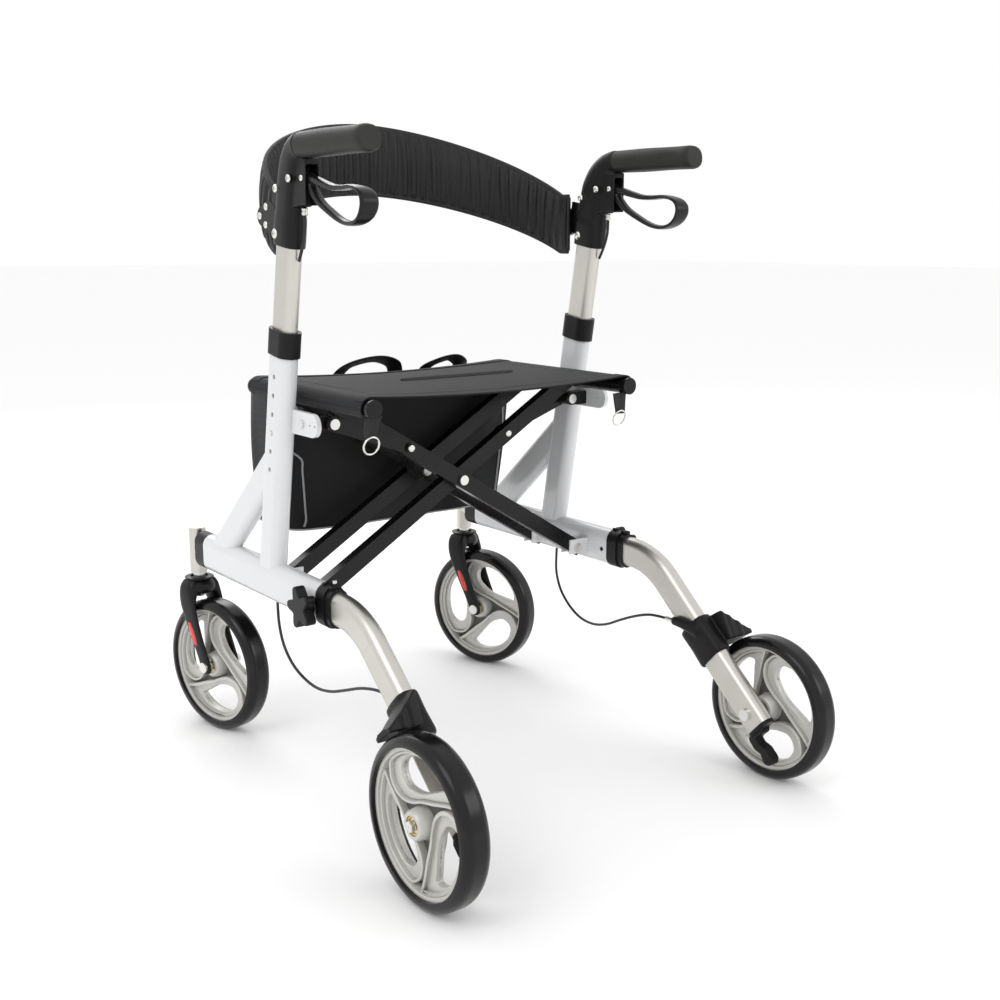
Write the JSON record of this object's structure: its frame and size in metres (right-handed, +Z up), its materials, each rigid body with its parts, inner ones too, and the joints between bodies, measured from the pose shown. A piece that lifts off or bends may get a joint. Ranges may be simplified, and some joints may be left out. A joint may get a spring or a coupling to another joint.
{
  "type": "rollator walker",
  "caption": "Side-folding rollator with oval tube side frames, swivelling front wheels, loop brakes, sliding handles, fabric seat, backrest band and shopping bag.",
  "frame": {"origin": "on the floor, in the middle of the walker's outline", "axes": "+X to the user's right, +Y forward, the way the walker rolls, +Z up"},
  "size_m": [0.6248, 0.8221, 0.892],
  "materials": {
    "white_paint": "gloss",
    "anodised_tube": "satin",
    "black_plastic": "matte",
    "lever_plastic": "semi-gloss",
    "grip_rubber": "matte",
    "black_steel": "satin",
    "bolts": "zinc-plated",
    "tyre": "smooth",
    "rim_plastic": "satin",
    "seat_fabric": "woven",
    "backrest_fabric": "woven",
    "bag_fabric": "nylon",
    "cable_black": "smooth"
  },
  "bodies": {
    "left_side": {"left_frame": "white_paint", "left_fittings": "black_plastic", "left_frame_bolts": "bolts", "left_rear_leg": "anodised_tube", "left_head_tube": "anodised_tube", "left_brake_housing": "black_plastic", "left_tip_lever": "black_plastic", "left_lower_cable": "cable_black", "left_rear_axle": "bolts"},
    "left_knob": {"left_star_knob": "black_plastic"},
    "left_shoe": {"left_brake_shoe": "black_plastic"},
    "left_caster": {"left_fork": "black_plastic", "left_caster_bolts": "bolts"},
    "left_front_wheel": {"left_front_tyre": "tyre", "left_front_rim": "rim_plastic"},
    "left_rear_wheel": {"left_rear_tyre": "tyre", "left_rear_rim": "rim_plastic"},
    "left_handle": {"left_handle_tube": "anodised_tube", "left_handle_housing": "black_plastic", "left_grip": "grip_rubber", "left_upper_cable": "cable_black", "left_backrest_plate": "black_steel"},
    "left_lever": {"left_brake_lever": "lever_plastic"},
    "left_button": {"left_snap_button": "bolts"},
    "left_fold_link": {"left_link": "black_steel"},
    "right_side": {"right_frame": "white_paint", "right_fittings": "black_plastic", "right_frame_bolts": "bolts", "right_rear_leg": "anodised_tube", "right_head_tube": "anodised_tube", "right_brake_housing": "black_plastic", "right_tip_lever": "black_plastic", "right_lower_cable": "cable_black", "right_rear_axle": "bolts"},
    "right_knob": {"right_star_knob": "black_plastic"},
    "right_shoe": {"right_brake_shoe": "black_plastic"},
    "right_caster": {"right_fork": "black_plastic", "right_caster_bolts": "bolts"},
    "right_front_wheel": {"right_front_tyre": "tyre", "right_front_rim": "rim_plastic"},
    "right_rear_wheel": {"right_rear_tyre": "tyre", "right_rear_rim": "rim_plastic"},
    "right_handle": {"right_handle_tube": "anodised_tube", "right_handle_housing": "black_plastic", "right_grip": "grip_rubber", "right_upper_cable": "cable_black", "right_backrest_plate": "black_steel"},
    "right_lever": {"right_brake_lever": "lever_plastic"},
    "right_button": {"right_snap_button": "bolts"},
    "right_fold_link": {"right_link": "black_steel"},
    "cross_a": {"cross_bars_a": "black_steel", "cross_pivot_bolts": "bolts", "seat_tube_right": "black_steel", "seat_fabric": "seat_fabric"},
    "cross_b": {"cross_bars_b": "black_steel", "seat_tube_left": "black_steel"},
    "bag_body": {"bag": "bag_fabric"},
    "backrest_left": {"backrest_left_half": "backrest_fabric"},
    "backrest_right": {"backrest_right_half": "backrest_fabric"}
  },
  "joints": [
    {"name": "fold", "type": "hinge", "parent": "left_side", "child": "cross_a", "pos_m": [-0.21172, 0.0375, 0.273], "axis": [0, -1, 0], "range_deg": [0, 44.9], "deforming": ["seat_fabric", "bag", "backrest_left_half", "backrest_right_half"]},
    {"name": "cross_pivot", "type": "hinge", "parent": "cross_a", "child": "cross_b", "pos_m": [0, 0.03, 0.40021], "axis": [0, -1, 0], "range_deg": [-89.8, 0], "deforming": ["seat_fabric", "bag", "backrest_left_half", "backrest_right_half"]},
    {"name": "right_fold", "type": "hinge", "parent": "cross_b", "child": "right_side", "pos_m": [0.21172, 0.0215, 0.273], "axis": [0, -1, 0], "range_deg": [0, 44.9], "deforming": ["seat_fabric", "bag", "backrest_left_half", "backrest_right_half"]},
    {"name": "left_link_pivot", "type": "hinge", "parent": "left_side", "child": "left_fold_link", "pos_m": [-0.20902, 0.023, 0.49759], "axis": [0, -1, 0], "range_deg": [0, 95.14]},
    {"name": "left_handle_slide", "type": "slide", "parent": "left_side", "child": "left_handle", "axis": [0, -0.165, 0.9863], "range_m": [-0.05, 0.075], "deforming": ["left_snap_button", "right_snap_button", "backrest_left_half", "backrest_right_half"]},
    {"name": "left_button_press", "type": "slide", "parent": "left_handle", "child": "left_button", "axis": [1, 0, 0], "range_m": [0, 0.004], "stiffness_N_per_m": 400, "springref_m": -0.002},
    {"name": "left_lever_pull", "type": "hinge", "parent": "left_handle", "child": "left_lever", "pos_m": [-0.248, -0.014, 0.8], "axis": [-1, 0, 0], "range_deg": [0, 14], "stiffness_Nm_per_rad": 1.5, "springref_deg": -2.86},
    {"name": "left_shoe_pivot", "type": "hinge", "parent": "left_side", "child": "left_shoe", "pos_m": [-0.288, -0.28325, 0.20915], "axis": [-1, 0, 0], "range_deg": [0, 3]},
    {"name": "left_knob_turn", "type": "hinge", "parent": "left_side", "child": "left_knob", "pos_m": [-0.27, -0.0205, 0.273], "axis": [-1, 0, 0], "continuous": true},
    {"name": "left_caster_swivel", "type": "hinge", "parent": "left_side", "child": "left_caster", "pos_m": [-0.248, 0.3505, 0.232], "axis": [0, 0, 1], "continuous": true},
    {"name": "left_front_wheel_roll", "type": "hinge", "parent": "left_caster", "child": "left_front_wheel", "pos_m": [-0.23913, 0.31047, 0.1], "axis": [0.9763, 0.2164, 0], "continuous": true},
    {"name": "left_rear_wheel_roll", "type": "hinge", "parent": "left_side", "child": "left_rear_wheel", "pos_m": [-0.288, -0.3125, 0.1], "axis": [1, 0, 0], "continuous": true},
    {"name": "right_link_pivot", "type": "hinge", "parent": "right_side", "child": "right_fold_link", "pos_m": [0.20902, 0.036, 0.49759], "axis": [0, -1, 0], "range_deg": [-95.14, 0]},
    {"name": "right_handle_slide", "type": "slide", "parent": "right_side", "child": "right_handle", "axis": [0, -0.165, 0.9863], "range_m": [-0.05, 0.075], "deforming": ["left_snap_button", "right_snap_button", "backrest_left_half", "backrest_right_half"]},
    {"name": "right_button_press", "type": "slide", "parent": "right_handle", "child": "right_button", "axis": [-1, 0, 0], "range_m": [0, 0.004], "stiffness_N_per_m": 400, "springref_m": -0.002},
    {"name": "right_lever_pull", "type": "hinge", "parent": "right_handle", "child": "right_lever", "pos_m": [0.248, -0.014, 0.8], "axis": [-1, 0, 0], "range_deg": [0, 14], "stiffness_Nm_per_rad": 1.5, "springref_deg": -2.86},
    {"name": "right_shoe_pivot", "type": "hinge", "parent": "right_side", "child": "right_shoe", "pos_m": [0.288, -0.28325, 0.20915], "axis": [-1, 0, 0], "range_deg": [0, 3]},
    {"name": "right_knob_turn", "type": "hinge", "parent": "right_side", "child": "right_knob", "pos_m": [0.27, -0.0205, 0.273], "axis": [1, 0, 0], "continuous": true},
    {"name": "right_caster_swivel", "type": "hinge", "parent": "right_side", "child": "right_caster", "pos_m": [0.248, 0.3505, 0.232], "axis": [0, 0, 1], "continuous": true},
    {"name": "right_front_wheel_roll", "type": "hinge", "parent": "right_caster", "child": "right_front_wheel", "pos_m": [0.26101, 0.31162, 0.1], "axis": [0.9483, 0.3173, 0], "continuous": true},
    {"name": "right_rear_wheel_roll", "type": "hinge", "parent": "right_side", "child": "right_rear_wheel", "pos_m": [0.288, -0.3125, 0.1], "axis": [1, 0, 0], "continuous": true},
    {"name": "backrest_left_bend", "type": "hinge", "parent": "left_handle", "child": "backrest_left", "pos_m": [-0.2385, 0.0895, 0.755], "axis": [0, 0, 1], "range_deg": [0, 35.22]},
    {"name": "backrest_middle_bend", "type": "hinge", "parent": "backrest_left", "child": "backrest_right", "pos_m": [-0.007, 0.2681, 0.84], "axis": [0, 0, 1], "range_deg": [-70.42, 0]},
    {"name": "bag_hang", "type": "hinge", "parent": "cross_a", "child": "bag_body", "pos_m": [0.21172, 0.2, 0.52743], "axis": [0, -1, 0], "range_deg": [-44.9, 0]}
  ],
  "couplings": [
    {"joint": "cross_pivot", "follows": "fold", "ratio": -2},
    {"joint": "right_fold", "follows": "fold", "ratio": 1},
    {"joint": "left_link_pivot", "follows": "fold", "ratio": 2.1188},
    {"joint": "left_shoe_pivot", "follows": "left_lever_pull", "ratio": 0.214},
    {"joint": "right_link_pivot", "follows": "fold", "ratio": -2.1188},
    {"joint": "right_shoe_pivot", "follows": "right_lever_pull", "ratio": 0.214},
    {"joint": "right_handle_slide", "follows": "left_handle_slide", "ratio": 1},
    {"joint": "backrest_left_bend", "follows": "fold", "ratio": 0.784},
    {"joint": "backrest_middle_bend", "follows": "fold", "ratio": -1.568},
    {"joint": "bag_hang", "follows": "fold", "ratio": -1}
  ]
}
